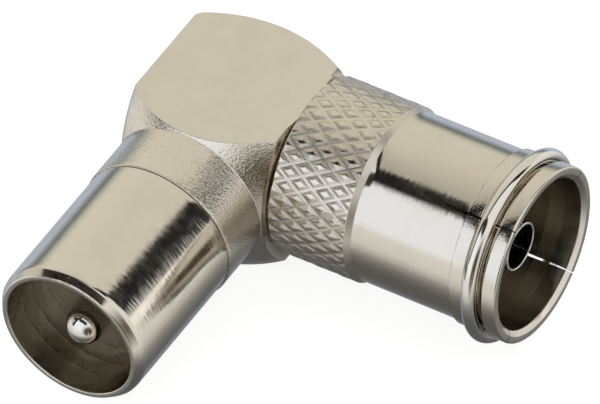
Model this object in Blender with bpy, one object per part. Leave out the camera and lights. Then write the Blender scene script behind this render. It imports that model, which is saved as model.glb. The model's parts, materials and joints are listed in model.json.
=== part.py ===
"""Right-angle coaxial aerial adapter: a 9.5 mm plug on one leg and a 9.5 mm socket on the other.

Metres, +Z up. The origin is the middle of the block's flat underside, straight below the point where
the two legs' axes cross. The plug points along -Y and the socket along +X, and both axes lie level.
Every turned piece is drawn along its own local +Z, from the crossing outwards, and is then placed by
the empty that stands for its leg.
"""

import math

import bmesh
import bpy
from mathutils import Vector

# Clearances between pieces that touch on the real adapter
SEAT_GAP = 0.0003
FIT_GAP = 0.0002

# Cast elbow: a square bar, its corners and its neck turned about the plug's axis
BLOCK_HALF_HEIGHT = 0.00495
BLOCK_LEFT = 0.0046
BLOCK_RIGHT = 0.00487
BLOCK_BACK = 0.00475
BLOCK_FRONT = 0.00569
FRONT_DOME_RADIUS = 0.0083
REAR_DOME_RADIUS = 0.0104
REAR_FLAT_RADIUS = 0.00428
RIM_SETBACK = 0.0002
RIM_HEIGHT = 0.0001
RIM_TAPER = 0.0003
NECK_RADIUS = 0.00484
NECK_LENGTH = 0.0032
NECK_STEP = 0.00006
PLUG_CHAMBER_RADIUS = 0.0027
SOCKET_CHAMBER_RADIUS = 0.0023
CHAMBER_REACH = 0.0024

# Plug shell
PLUG_RADIUS = 0.00475
PLUG_BORE_RADIUS = 0.00412
PLUG_LENGTH = 0.00951
PLUG_DEPTH = 0.00879
PLUG_CHAMFER_RADIAL = 0.00035
PLUG_CHAMFER_LENGTH = 0.00075
PLUG_SPIGOT_RADIUS = 0.0039
PLUG_SPIGOT_LENGTH = 0.0038
PLUG_SPIGOT_BORE_RADIUS = 0.0027

# Centre pin of the plug
PIN_RADIUS = 0.00118
PIN_SHANK_RADIUS = 0.00095
PIN_NOSE_RADIUS = 0.00083
PIN_RECESS = 0.00033
PIN_TAPER_LENGTH = 0.00055
PIN_HEEL = 0.0013

# Socket shell, from the block outwards; each rise is above the barrel and each cut below it
KNURL_RISE = 0.0002
KNURL_DEPTH = 0.00027
KNURL_LENGTH = 0.0049
KNURL_FLAT_WIDTH = 0.0003
KNURL_STARTS = 36
KNURL_ROWS = 6
COLLAR_CHAMFER_LENGTH = 0.0004
BARREL_RADIUS = 0.00521
BARREL_LENGTH = 0.0066
BAND_RISE = 0.00017
BAND_LENGTH = 0.00077
GROOVE_CUT = 0.00011
GROOVE_LENGTH = 0.00145
LIP_RISE = 0.0002
LIP_LENGTH = 0.00087
LIP_EDGE_BREAK = 0.0001
LIP_BORE_STEP = 0.00015
LIP_BORE_LENGTH = 0.0011
LIP_CHAMFER_RADIAL = 0.00028
LIP_CHAMFER_LENGTH = 0.00018
SOCKET_WALL = 0.00041
SOCKET_DEPTH = 0.01195
SOCKET_SPIGOT_RADIUS = 0.0037
SOCKET_SPIGOT_LENGTH = 0.0026
SOCKET_SPIGOT_BORE_RADIUS = 0.0027

# Saw cuts that make the socket's fingers
SAW_CUTS = 2
SAW_WIDTH = 0.0003
SAW_LENGTH = 0.0063
SAW_ANGLE = math.radians(32.7)

# Spring ring in the socket's groove
RING_HALF_WIDTH = 0.00046
RING_THICKNESS = 0.00073

# Centre contact of the socket
CONTACT_RADIUS = 0.00152
CONTACT_BORE_RADIUS = 0.0012
CONTACT_BORE_DEPTH = 0.0075
CONTACT_RECESS = 0.00149
CONTACT_SHANK_RADIUS = 0.00095
CONTACT_MOUTH_BREAK = 0.00012
CONTACT_SAW_LENGTH = 0.0045
TAIL_RADIUS = 0.0004

# Insulating bushes
FLANGE_THICKNESS = 0.0013

# Facets round the shells, round the slim pieces, and along an arc or a rounded nose
SHELL_SEGMENTS = 72
SLIM_SEGMENTS = 32
ARC_STEPS = 5
SHARP_ANGLE = math.radians(30.0)

# Spare length of a cutter past the surface that it cuts
CUT_MARGIN = 0.001


def clear_scene():
    """Remove every object that the file holds."""
    for scene_object in list(bpy.data.objects):
        bpy.data.objects.remove(scene_object, do_unlink=True)


def finish(name, colour, metallic, roughness):
    """Return a Principled material."""
    material = bpy.data.materials.new(name)
    material.use_nodes = True
    shader = material.node_tree.nodes["Principled BSDF"]
    shader.inputs["Base Color"].default_value = (*colour, 1.0)
    shader.inputs["Metallic"].default_value = metallic
    shader.inputs["Roughness"].default_value = roughness
    return material


def leg_axis(name, rotation):
    """Return an empty at the crossing of the axes, whose local +Z runs out along one leg."""
    empty = bpy.data.objects.new(name, None)
    bpy.context.collection.objects.link(empty)
    empty.location = (0.0, 0.0, BLOCK_HALF_HEIGHT)
    empty.rotation_euler = rotation
    return empty


def place(name, bm, parent, material=None):
    """Turn a bmesh into an object with its faces outwards, carried by its leg."""
    bmesh.ops.recalc_face_normals(bm, faces=bm.faces)
    mesh = bpy.data.meshes.new(name)
    bm.to_mesh(mesh)
    bm.free()
    if material:
        mesh.materials.append(material)
    mesh.shade_smooth()
    mesh.set_sharp_from_angle(angle=SHARP_ANGLE)
    placed = bpy.data.objects.new(name, mesh)
    bpy.context.collection.objects.link(placed)
    placed.parent = parent
    return placed


def spin_outline(outline, segments, closed=True):
    """Return a bmesh turned about local Z from (height, radius) points.

    An outline that starts and ends on the axis needs no edge along it.
    """
    bm = bmesh.new()
    points = [bm.verts.new((radius, 0.0, height)) for height, radius in outline]
    pairs = list(zip(points, points[1:]))
    on_axis = outline[0][1] == 0.0 and outline[-1][1] == 0.0
    if closed and not on_axis:
        pairs.append((points[-1], points[0]))
    edges = [bm.edges.new(pair) for pair in pairs]
    bmesh.ops.spin(bm, geom=points + edges, cent=(0.0, 0.0, 0.0), axis=(0.0, 0.0, 1.0), dvec=(0.0, 0.0, 0.0),
                   angle=math.tau, steps=segments, use_merge=True, use_duplicate=False)
    bmesh.ops.remove_doubles(bm, verts=bm.verts, dist=1e-7)
    if on_axis:
        merge_flat_end(bm, outline[0], outline[1])
        merge_flat_end(bm, outline[-1], outline[-2])
    return bm


def merge_flat_end(bm, pole, rim):
    """Make a flat end one face, where the outline leaves the axis squarely."""
    if pole[0] != rim[0]:
        return
    centre = min(bm.verts, key=lambda vert: (vert.co - Vector((0.0, 0.0, pole[0]))).length)
    bmesh.ops.dissolve_verts(bm, verts=[centre])


def turned(name, outline, segments, parent, material=None):
    """Return a piece turned from a closed outline of (height, radius) points."""
    return place(name, spin_outline(outline, segments), parent, material)


def arc(centre_height, radius, first_radius, last_radius, side):
    """Return (height, radius) points of a ball's arc, on its upper (+1) or lower (-1) side.

    An arc asked to reach wider than its ball ends at the ball's widest circle.
    """
    start = math.asin(min(1.0, first_radius / radius))
    end = math.asin(min(1.0, last_radius / radius))
    angles = [start + (end - start) * step / ARC_STEPS for step in range(ARC_STEPS + 1)]
    return [(centre_height + side * radius * math.cos(angle), radius * math.sin(angle)) for angle in angles]


def hide_as_cutter(cutter):
    """Keep a cutter out of the model."""
    cutter.hide_render = True
    cutter.display_type = "WIRE"


def cut(piece, cutter, operation="DIFFERENCE"):
    """Apply a cutter to a piece by a Boolean modifier."""
    hide_as_cutter(cutter)
    boolean = piece.modifiers.new(cutter.name, "BOOLEAN")
    boolean.operation = operation
    boolean.solver = "EXACT"
    boolean.object = cutter


def half_step(cutter):
    """Turn a cutter by half a facet, so that none of its edges falls on an edge of what it cuts."""
    cutter.rotation_euler = (0.0, 0.0, math.pi / SHELL_SEGMENTS)
    return cutter


def box_mesh(low, high):
    """Return a bmesh box between two corners."""
    bm = bmesh.new()
    bmesh.ops.create_cube(bm, size=1.0)
    size = Vector(high) - Vector(low)
    middle = (Vector(high) + Vector(low)) / 2.0
    bmesh.ops.scale(bm, vec=size, verts=bm.verts)
    bmesh.ops.translate(bm, vec=middle, verts=bm.verts)
    return bm


def prism_mesh(outline, low, high):
    """Return a bmesh that stands on a level outline of (x, y) points, between two heights."""
    bm = bmesh.new()
    face = bm.faces.new([bm.verts.new((x, y, low)) for x, y in outline])
    risen = bmesh.ops.extrude_face_region(bm, geom=[face])["geom"]
    top = [part for part in risen if isinstance(part, bmesh.types.BMVert)]
    bmesh.ops.translate(bm, vec=(0.0, 0.0, high - low), verts=top)
    return bm


def saw_cut(name, parent, angle, reach, start, end):
    """Return a flat cutter right across a leg, turned about its axis."""
    bm = box_mesh((-SAW_WIDTH / 2.0, -reach, start), (SAW_WIDTH / 2.0, reach, end))
    cutter = place(name, bm, parent)
    cutter.rotation_euler = (0.0, 0.0, angle)
    return cutter


# Radii of the socket shell, all from the barrel's
KNURL_RADIUS = BARREL_RADIUS + KNURL_RISE
BAND_RADIUS = BARREL_RADIUS + BAND_RISE
GROOVE_FLOOR_RADIUS = BARREL_RADIUS - GROOVE_CUT
LIP_RADIUS = BARREL_RADIUS + LIP_RISE
SOCKET_BORE_RADIUS = BARREL_RADIUS - SOCKET_WALL
LIP_BORE_RADIUS = SOCKET_BORE_RADIUS - LIP_BORE_STEP

# Radii of what follows the socket shell: the block's rim inside the collar, and the ring in its groove
RIM_RADIUS = KNURL_RADIUS - RIM_SETBACK
RING_INNER_RADIUS = GROOVE_FLOOR_RADIUS + FIT_GAP
RING_OUTER_RADIUS = RING_INNER_RADIUS + RING_THICKNESS

# Stations along the plug, from the crossing outwards
NECK_END = BLOCK_FRONT + NECK_LENGTH
PLUG_START = NECK_END + SEAT_GAP
PLUG_MOUTH = PLUG_START + PLUG_LENGTH
PLUG_FLOOR = PLUG_MOUTH - PLUG_DEPTH
PLUG_SPIGOT_END = PLUG_START - PLUG_SPIGOT_LENGTH
PLUG_SEAT_END = PLUG_SPIGOT_END - SEAT_GAP

# Stations along the socket, from the crossing outwards
SOCKET_FACE = BLOCK_RIGHT + RIM_HEIGHT
COLLAR_START = SOCKET_FACE + SEAT_GAP
KNURL_END = COLLAR_START + KNURL_LENGTH
BARREL_START = KNURL_END + COLLAR_CHAMFER_LENGTH
BAND_START = BARREL_START + BARREL_LENGTH
GROOVE_START = BAND_START + BAND_LENGTH
LIP_START = GROOVE_START + GROOVE_LENGTH
SOCKET_MOUTH = LIP_START + LIP_LENGTH
SOCKET_FLOOR = SOCKET_MOUTH - SOCKET_DEPTH
SOCKET_SPIGOT_END = COLLAR_START - SOCKET_SPIGOT_LENGTH
SOCKET_SEAT_END = SOCKET_SPIGOT_END - SEAT_GAP


def elbow_body(plug_leg, socket_leg, material):
    """The casting: block, neck, the seats of both shells and the chamber where they meet."""
    corner_radius = math.hypot(max(BLOCK_LEFT, BLOCK_RIGHT), BLOCK_HALF_HEIGHT) + CUT_MARGIN
    far_side = -NECK_RADIUS - CUT_MARGIN
    near_side = SOCKET_FACE + CUT_MARGIN
    step = -BLOCK_FRONT - NECK_STEP
    stepped = [(-BLOCK_LEFT, BLOCK_BACK + CUT_MARGIN), (-BLOCK_LEFT, step), (far_side, step),
               (far_side, -NECK_END - CUT_MARGIN), (near_side, -NECK_END - CUT_MARGIN),
               (near_side, BLOCK_BACK + CUT_MARGIN)]
    bar = prism_mesh(stepped, -BLOCK_HALF_HEIGHT, BLOCK_HALF_HEIGHT)
    body = place("elbow_body", bar, None, material)
    body.location = (0.0, 0.0, BLOCK_HALF_HEIGHT)

    front_centre = BLOCK_FRONT - math.sqrt(FRONT_DOME_RADIUS ** 2 - NECK_RADIUS ** 2)
    front = arc(front_centre, FRONT_DOME_RADIUS, corner_radius, NECK_RADIUS, 1)
    rear_centre = -BLOCK_BACK + math.sqrt(REAR_DOME_RADIUS ** 2 - REAR_FLAT_RADIUS ** 2)
    rear = arc(rear_centre, REAR_DOME_RADIUS, REAR_FLAT_RADIUS, corner_radius, -1)
    rounded = [(-BLOCK_BACK, 0.0)] + rear + front + [(NECK_END, NECK_RADIUS), (NECK_END, 0.0)]
    cut(body, turned("corner_form", rounded, SHELL_SEGMENTS, plug_leg), "INTERSECT")

    reach = NECK_END + corner_radius
    rimmed = [(far_side, 0.0), (far_side, reach), (BLOCK_RIGHT, reach), (BLOCK_RIGHT, RIM_RADIUS + RIM_TAPER),
              (SOCKET_FACE, RIM_RADIUS), (SOCKET_FACE, 0.0)]
    cut(body, half_step(turned("rim_form", rimmed, SHELL_SEGMENTS, socket_leg)), "INTERSECT")

    plug_way = [(-CHAMBER_REACH, 0.0), (-CHAMBER_REACH, PLUG_CHAMBER_RADIUS),
                (PLUG_SEAT_END, PLUG_CHAMBER_RADIUS), (PLUG_SEAT_END, PLUG_SPIGOT_RADIUS + FIT_GAP),
                (NECK_END + CUT_MARGIN, PLUG_SPIGOT_RADIUS + FIT_GAP), (NECK_END + CUT_MARGIN, 0.0)]
    cut(body, half_step(turned("plug_way", plug_way, SHELL_SEGMENTS, plug_leg)))

    socket_way = [(-CHAMBER_REACH, 0.0), (-CHAMBER_REACH, SOCKET_CHAMBER_RADIUS),
                  (SOCKET_SEAT_END, SOCKET_CHAMBER_RADIUS), (SOCKET_SEAT_END, SOCKET_SPIGOT_RADIUS + FIT_GAP),
                  (SOCKET_FACE + CUT_MARGIN, SOCKET_SPIGOT_RADIUS + FIT_GAP), (SOCKET_FACE + CUT_MARGIN, 0.0)]
    cut(body, half_step(turned("socket_way", socket_way, SHELL_SEGMENTS, socket_leg)))
    return body


def plug_shell(plug_leg, material):
    """The plug's tube with its spigot, one turned piece."""
    outline = [(PLUG_SPIGOT_END, PLUG_SPIGOT_BORE_RADIUS), (PLUG_SPIGOT_END, PLUG_SPIGOT_RADIUS),
               (PLUG_START, PLUG_SPIGOT_RADIUS), (PLUG_START, PLUG_RADIUS),
               (PLUG_MOUTH - PLUG_CHAMFER_LENGTH, PLUG_RADIUS), (PLUG_MOUTH, PLUG_RADIUS - PLUG_CHAMFER_RADIAL),
               (PLUG_MOUTH, PLUG_BORE_RADIUS), (PLUG_FLOOR, PLUG_BORE_RADIUS),
               (PLUG_FLOOR, PLUG_SPIGOT_BORE_RADIUS)]
    return turned("plug_shell", outline, SHELL_SEGMENTS, plug_leg, material)


def bush_outline(floor, flange_radius, tail_radius, bore_radius, tail_end):
    """Return the outline of an insulating bush whose flange seats on a shell's floor."""
    flange_back = floor + SEAT_GAP
    flange_front = flange_back + FLANGE_THICKNESS
    return [(tail_end, bore_radius), (tail_end, tail_radius), (flange_back, tail_radius),
            (flange_back, flange_radius), (flange_front, flange_radius), (flange_front, bore_radius)]


def plug_insulator(plug_leg, material):
    """The bush that holds the pin in the plug."""
    outline = bush_outline(PLUG_FLOOR, PLUG_BORE_RADIUS - FIT_GAP, PLUG_SPIGOT_BORE_RADIUS - FIT_GAP,
                           PIN_SHANK_RADIUS + FIT_GAP, PLUG_SPIGOT_END)
    return turned("plug_insulator", outline, SLIM_SEGMENTS, plug_leg, material)


def socket_insulator(socket_leg, material):
    """The bush that holds the contact in the socket."""
    outline = bush_outline(SOCKET_FLOOR, SOCKET_BORE_RADIUS - FIT_GAP, SOCKET_SPIGOT_BORE_RADIUS - FIT_GAP,
                           CONTACT_SHANK_RADIUS + FIT_GAP, SOCKET_SPIGOT_END)
    return turned("socket_insulator", outline, SLIM_SEGMENTS, socket_leg, material)


def plug_pin(plug_leg, socket_leg, material):
    """The plug's pin: rounded nose, slim shank and a cross hole for the contact's tail."""
    shoulder = PLUG_FLOOR + SEAT_GAP + FLANGE_THICKNESS + SEAT_GAP
    nose_centre = PLUG_MOUTH - PIN_RECESS - PIN_NOSE_RADIUS
    nose = arc(nose_centre, PIN_NOSE_RADIUS, PIN_NOSE_RADIUS, 0.0, 1)
    outline = [(-PIN_HEEL, 0.0), (-PIN_HEEL, PIN_SHANK_RADIUS), (shoulder, PIN_SHANK_RADIUS),
               (shoulder, PIN_RADIUS), (nose_centre - PIN_TAPER_LENGTH, PIN_RADIUS)] + nose
    pin = turned("plug_pin", outline, SLIM_SEGMENTS, plug_leg, material)
    hole_radius = TAIL_RADIUS + FIT_GAP
    reach = PIN_SHANK_RADIUS + CUT_MARGIN
    hole = [(-reach, 0.0), (-reach, hole_radius), (reach, hole_radius), (reach, 0.0)]
    cut(pin, turned("cross_hole", hole, SLIM_SEGMENTS, socket_leg))
    return pin


def socket_contact(socket_leg, material):
    """The socket's contact: a sawn tube, a shank in the bush and a tail through the pin."""
    shoulder = SOCKET_FLOOR + SEAT_GAP + FLANGE_THICKNESS + SEAT_GAP
    mouth = SOCKET_MOUTH - CONTACT_RECESS
    outline = [(-PIN_SHANK_RADIUS, 0.0), (-PIN_SHANK_RADIUS, TAIL_RADIUS), (SOCKET_SPIGOT_END, TAIL_RADIUS),
               (SOCKET_SPIGOT_END, CONTACT_SHANK_RADIUS), (shoulder, CONTACT_SHANK_RADIUS),
               (shoulder, CONTACT_RADIUS), (mouth - CONTACT_MOUTH_BREAK, CONTACT_RADIUS),
               (mouth, CONTACT_RADIUS - CONTACT_MOUTH_BREAK), (mouth, CONTACT_BORE_RADIUS),
               (mouth - CONTACT_BORE_DEPTH, CONTACT_BORE_RADIUS), (mouth - CONTACT_BORE_DEPTH, 0.0)]
    contact = turned("socket_contact", outline, SLIM_SEGMENTS, socket_leg, material)
    cut(contact, saw_cut("contact_saw", socket_leg, SAW_ANGLE + math.pi / 2.0, CONTACT_RADIUS + CUT_MARGIN,
                         mouth - CONTACT_SAW_LENGTH, mouth + CUT_MARGIN))
    return contact


def ring_of(bm, height, radius):
    """Return the vertices of one ring of a turned mesh, in order of angle."""
    tolerance = 1e-7
    found = [vert for vert in bm.verts
             if abs(vert.co.z - height) < tolerance and abs(vert.co.xy.length - radius) < tolerance]
    return sorted(found, key=turn_of)


def turn_of(vert):
    """Return a vertex's angle about local Z, from 0 to a full turn."""
    return math.atan2(vert.co.y, vert.co.x) % math.tau


def stitch(bm, first, second):
    """Fill between two closed rings of vertices with triangles, going round by angle."""
    done_first = 0
    done_second = 0
    while done_first < len(first) or done_second < len(second):
        a = first[done_first % len(first)]
        b = second[done_second % len(second)]
        next_a = first[(done_first + 1) % len(first)]
        next_b = second[(done_second + 1) % len(second)]
        turn_a = turn_of(next_a) + (math.tau if done_first + 1 >= len(first) else 0.0)
        turn_b = turn_of(next_b) + (math.tau if done_second + 1 >= len(second) else 0.0)
        if done_second >= len(second) or (done_first < len(first) and turn_a <= turn_b):
            bm.faces.new((a, next_a, b))
            done_first += 1
        else:
            bm.faces.new((a, next_b, b))
            done_second += 1


def add_knurl(bm):
    """Add the diamond knurl as flat-topped pyramids, and return its first and last rings."""
    half_turn = math.pi / KNURL_STARTS
    row = KNURL_LENGTH / KNURL_ROWS
    root_radius = KNURL_RADIUS - KNURL_DEPTH
    flat_share = KNURL_FLAT_WIDTH / (2.0 * half_turn * KNURL_RADIUS)
    steps_round = 2 * KNURL_STARTS
    made = {}

    def vertex(along, around, radius):
        key = (round(along, 6), round(around % steps_round, 6), radius)
        if key not in made:
            turn = around * half_turn
            height = COLLAR_START + along * row
            made[key] = bm.verts.new((radius * math.cos(turn), radius * math.sin(turn), height))
        return made[key]

    for along in range(KNURL_ROWS + 1):
        for around in range(steps_round):
            if (along + around) % 2 == 0:
                continue
            corners = [(0, -1), (1, 0), (0, 1), (-1, 0)]
            roots = []
            tops = []
            for step_along, step_around in corners:
                if 0 <= along + step_along <= KNURL_ROWS:
                    roots.append(vertex(along + step_along, around + step_around, root_radius))
                    tops.append(vertex(along + step_along * flat_share, around + step_around * flat_share,
                                       KNURL_RADIUS))
                else:
                    roots.append(None)
                    tops.append(None)
            for side in range(len(corners)):
                following = (side + 1) % len(corners)
                if roots[side] and roots[following]:
                    bm.faces.new((roots[side], roots[following], tops[following], tops[side]))
            bm.faces.new([top for top in tops if top])

    first = [vert for key, vert in made.items() if key[0] == 0.0]
    last = [vert for key, vert in made.items() if key[0] == float(KNURL_ROWS)]
    return sorted(first, key=turn_of), sorted(last, key=turn_of)


def socket_shell(socket_leg, material):
    """Knurled collar, barrel, band, groove and lip, one turned piece sawn into fingers."""
    root_radius = KNURL_RADIUS - KNURL_DEPTH
    collar_face_radius = root_radius - FIT_GAP
    lip_bore_start = SOCKET_MOUTH - LIP_CHAMFER_LENGTH - LIP_BORE_LENGTH
    outline = [(BARREL_START, BARREL_RADIUS), (BAND_START, BARREL_RADIUS), (BAND_START, BAND_RADIUS),
               (GROOVE_START, BAND_RADIUS), (GROOVE_START, GROOVE_FLOOR_RADIUS), (LIP_START, GROOVE_FLOOR_RADIUS),
               (LIP_START, LIP_RADIUS), (SOCKET_MOUTH - LIP_EDGE_BREAK, LIP_RADIUS),
               (SOCKET_MOUTH, LIP_RADIUS - LIP_EDGE_BREAK), (SOCKET_MOUTH, LIP_BORE_RADIUS + LIP_CHAMFER_RADIAL),
               (SOCKET_MOUTH - LIP_CHAMFER_LENGTH, LIP_BORE_RADIUS), (lip_bore_start, LIP_BORE_RADIUS),
               (lip_bore_start - LIP_BORE_LENGTH, SOCKET_BORE_RADIUS), (SOCKET_FLOOR, SOCKET_BORE_RADIUS),
               (SOCKET_FLOOR, SOCKET_SPIGOT_BORE_RADIUS), (SOCKET_SPIGOT_END, SOCKET_SPIGOT_BORE_RADIUS),
               (SOCKET_SPIGOT_END, SOCKET_SPIGOT_RADIUS), (COLLAR_START, SOCKET_SPIGOT_RADIUS),
               (COLLAR_START, collar_face_radius)]
    bm = spin_outline(outline, SHELL_SEGMENTS, closed=False)
    knurl_first, knurl_last = add_knurl(bm)
    stitch(bm, ring_of(bm, COLLAR_START, collar_face_radius), knurl_first)
    stitch(bm, knurl_last, ring_of(bm, BARREL_START, BARREL_RADIUS))
    shell = place("socket_shell", bm, socket_leg, material)
    for number in range(SAW_CUTS):
        angle = SAW_ANGLE + number * math.pi / SAW_CUTS
        cut(shell, saw_cut(f"finger_saw_{number + 1}", socket_leg, angle, RING_OUTER_RADIUS + CUT_MARGIN,
                           SOCKET_MOUTH - SAW_LENGTH, SOCKET_MOUTH + CUT_MARGIN))
    return shell


def spring_ring(socket_leg, material):
    """The ring in the groove, its section a flattened round."""
    section_radius = RING_THICKNESS / 2.0
    centre_radius = RING_INNER_RADIUS + section_radius
    centre_height = GROOVE_START + GROOVE_LENGTH / 2.0
    points = 2 * ARC_STEPS
    outline = []
    for number in range(points):
        turn = math.tau * number / points
        outline.append((centre_height + RING_HALF_WIDTH * math.sin(turn),
                        centre_radius + section_radius * math.cos(turn)))
    return turned("spring_ring", outline, SHELL_SEGMENTS, socket_leg, material)


def build():
    """Model the adapter."""
    clear_scene()
    cast_nickel = finish("cast_nickel", (0.62, 0.60, 0.55), 1.0, 0.42)
    turned_nickel = finish("turned_nickel", (0.68, 0.65, 0.59), 1.0, 0.22)
    bright_nickel = finish("bright_nickel", (0.74, 0.72, 0.68), 1.0, 0.12)
    natural_plastic = finish("natural_plastic", (0.82, 0.80, 0.74), 0.0, 0.5)

    plug_leg = leg_axis("plug_axis", (math.pi / 2.0, 0.0, 0.0))
    socket_leg = leg_axis("socket_axis", (0.0, math.pi / 2.0, 0.0))

    elbow_body(plug_leg, socket_leg, cast_nickel)
    plug_shell(plug_leg, turned_nickel)
    plug_insulator(plug_leg, natural_plastic)
    plug_pin(plug_leg, socket_leg, bright_nickel)
    socket_shell(socket_leg, turned_nickel)
    spring_ring(socket_leg, bright_nickel)
    socket_insulator(socket_leg, natural_plastic)
    socket_contact(socket_leg, bright_nickel)


build()
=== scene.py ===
"""Looks of the right-angle coaxial aerial adapter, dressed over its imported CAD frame.

Everything is in metres in the frame of the CAD part: the plug points along -Y, the socket along +X,
and the origin lies on the block's underside, straight below the point where the two axes cross.
Sizes in the classes are in millimetres, because the object is small, and are scaled on the way in.
"""

import json
import logging
import math
from collections.abc import Callable
from dataclasses import dataclass, field
from enum import Enum

import bmesh
import bpy
import numpy as np
from mathutils import Matrix, Vector

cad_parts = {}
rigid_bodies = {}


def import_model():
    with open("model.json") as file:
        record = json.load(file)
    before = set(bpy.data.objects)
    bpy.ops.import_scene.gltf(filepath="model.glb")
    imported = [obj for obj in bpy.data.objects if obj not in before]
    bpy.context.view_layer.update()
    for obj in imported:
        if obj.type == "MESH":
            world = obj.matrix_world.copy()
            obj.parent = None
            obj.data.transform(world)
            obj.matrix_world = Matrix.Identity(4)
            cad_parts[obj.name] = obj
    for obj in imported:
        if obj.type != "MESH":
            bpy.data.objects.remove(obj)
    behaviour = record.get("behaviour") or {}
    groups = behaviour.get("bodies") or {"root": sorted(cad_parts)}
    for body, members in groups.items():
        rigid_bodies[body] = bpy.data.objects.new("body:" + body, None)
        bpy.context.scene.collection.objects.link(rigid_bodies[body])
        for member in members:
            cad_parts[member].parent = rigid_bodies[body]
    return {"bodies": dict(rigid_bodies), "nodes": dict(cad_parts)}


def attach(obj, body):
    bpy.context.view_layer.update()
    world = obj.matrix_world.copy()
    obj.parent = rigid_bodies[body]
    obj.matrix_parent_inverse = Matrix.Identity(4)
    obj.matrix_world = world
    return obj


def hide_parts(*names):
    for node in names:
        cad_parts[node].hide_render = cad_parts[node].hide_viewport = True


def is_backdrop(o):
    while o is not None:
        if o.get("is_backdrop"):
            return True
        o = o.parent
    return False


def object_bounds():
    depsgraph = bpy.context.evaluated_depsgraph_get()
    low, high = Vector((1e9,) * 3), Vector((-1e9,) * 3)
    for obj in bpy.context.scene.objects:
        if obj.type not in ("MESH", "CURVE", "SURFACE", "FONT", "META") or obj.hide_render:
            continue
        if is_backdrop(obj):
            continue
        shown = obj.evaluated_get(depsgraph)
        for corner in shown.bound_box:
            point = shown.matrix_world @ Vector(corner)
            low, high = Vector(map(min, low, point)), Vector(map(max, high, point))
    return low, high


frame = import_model()

LOG = logging.getLogger("adapter")
MM = 0.001
AXIS_HEIGHT = 4.95
ROUNDING_STEP = math.radians(12.0)
SHARP_TURN = math.radians(32.0)
FLAT_WEIGHT = 80
SAME_PLACE = 1e-5
TUBE_FACETS = 256
CUTTER_FACETS = 240
CORE_FACETS = 96
BODY = "root"

BMesh = bmesh.types.BMesh
Socket = bpy.types.NodeSocket
Outline = list[tuple[float, float]]
Colour = tuple[float, float, float]


class Leg(Enum):
    """The two legs, each with the axis that its frame is turned about; local Z runs out along the leg."""

    PLUG = "X"
    SOCKET = "Y"

    @property
    def matrix(self) -> Matrix:
        """The matrix from the leg's own frame, in millimetres, to the row frame, in metres."""
        lift = Matrix.Translation((0.0, 0.0, AXIS_HEIGHT * MM))
        return lift @ Matrix.Rotation(math.pi / 2.0, 4, self.value) @ Matrix.Scale(MM, 4)


class Slot(Enum):
    """The record's material slots."""

    CAST = "cast_nickel"
    TURNED = "turned_nickel"
    BRIGHT = "bright_nickel"
    PLASTIC = "natural_plastic"


@dataclass(frozen=True)
class Corner:
    """One corner of a turned outline.

    Attributes:
        along: Distance out along the leg, in millimetres.
        radius: Distance from the axis, in millimetres.
        rounding: Radius of the corner's rounding, in millimetres; 0 leaves it sharp.
    """

    along: float
    radius: float
    rounding: float = 0.0


def rounded(corners: list[Corner], closed: bool, fixed_steps: int = 0) -> Outline:
    """Round the corners of an outline.

    Args:
        corners: The corners in order.
        closed: Whether the last corner joins the first.
        fixed_steps: Steps in each rounding; 0 lets the corner's turn set them.

    Returns:
        The (along, radius) points of the rounded outline.
    """
    outline: Outline = []
    count = len(corners)
    for index, corner in enumerate(corners):
        here = Vector((corner.along, corner.radius))
        at_end = not closed and index in (0, count - 1)
        if corner.rounding <= 0.0 or at_end:
            outline.append(tuple(here))
            continue
        before = Vector((corners[index - 1].along, corners[index - 1].radius))
        after = Vector((corners[(index + 1) % count].along, corners[(index + 1) % count].radius))
        back = (before - here).normalized()
        ahead = (after - here).normalized()
        opening = back.angle(ahead)
        reach = corner.rounding / math.tan(opening / 2.0)
        reach = min(reach, 0.48 * (before - here).length, 0.48 * (after - here).length)
        radius = reach * math.tan(opening / 2.0)
        centre = here + (back + ahead).normalized() * (radius / math.sin(opening / 2.0))
        start = here + back * reach - centre
        sweep = math.pi - opening
        side = 1.0 if start.cross(here + ahead * reach - centre) > 0.0 else -1.0
        steps = fixed_steps or max(2, math.ceil(sweep / ROUNDING_STEP))
        for number in range(steps + 1):
            turn = side * sweep * number / steps
            spoke = Vector((start.x * math.cos(turn) - start.y * math.sin(turn),
                            start.x * math.sin(turn) + start.y * math.cos(turn)))
            outline.append(tuple(centre + spoke))
    return outline


def split_at(outline: Outline, along: float) -> Outline:
    """Return a closed outline with a point added wherever it crosses a station."""
    found: Outline = []
    for (here, radius), (there, other) in zip(outline, outline[1:] + outline[:1]):
        found.append((here, radius))
        if (here - along) * (there - along) < 0.0:
            share = (along - here) / (there - here)
            found.append((along, radius + (other - radius) * share))
    return found


def nose_points(centre: float, radius: float, steps: int) -> list[Corner]:
    """Return the corners of a half ball round a centre, from just past its widest place to the axis."""
    widest = math.asin(0.9999)
    angles = [widest * (1.0 - number / steps) for number in range(steps + 1)]
    return [Corner(centre + radius * math.cos(angle), radius * math.sin(angle)) for angle in angles]


def ring_at(bm: BMesh, along: float, radius: float, turns: list[float]) -> list[bmesh.types.BMVert]:
    """Return new vertices round the axis at one station."""
    return [bm.verts.new((radius * math.cos(turn), radius * math.sin(turn), along)) for turn in turns]


def spin(outline: Outline, segments: int, closed: bool) -> BMesh:
    """Turn an outline about local Z; an open one may start or end on the axis."""
    bm = bmesh.new()
    turns = [math.tau * number / segments for number in range(segments)]
    rings = [ring_at(bm, along, radius, turns if radius >= 1e-9 else [0.0]) for along, radius in outline]
    following = rings[1:] + rings[:1] if closed else rings[1:]
    for first, second in zip(rings, following):
        bridge(bm, first, second)
    return bm


def bridge(bm: BMesh, first: list, second: list) -> None:
    """Fill between two rings of vertices; a ring of one vertex is a pole."""
    count = max(len(first), len(second))
    for number in range(count):
        following = (number + 1) % count
        face = [first[number % len(first)], first[following % len(first)],
                second[following % len(second)], second[number % len(second)]]
        distinct = list(dict.fromkeys(face))
        if len(distinct) > 2:
            bm.faces.new(distinct)


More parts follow.
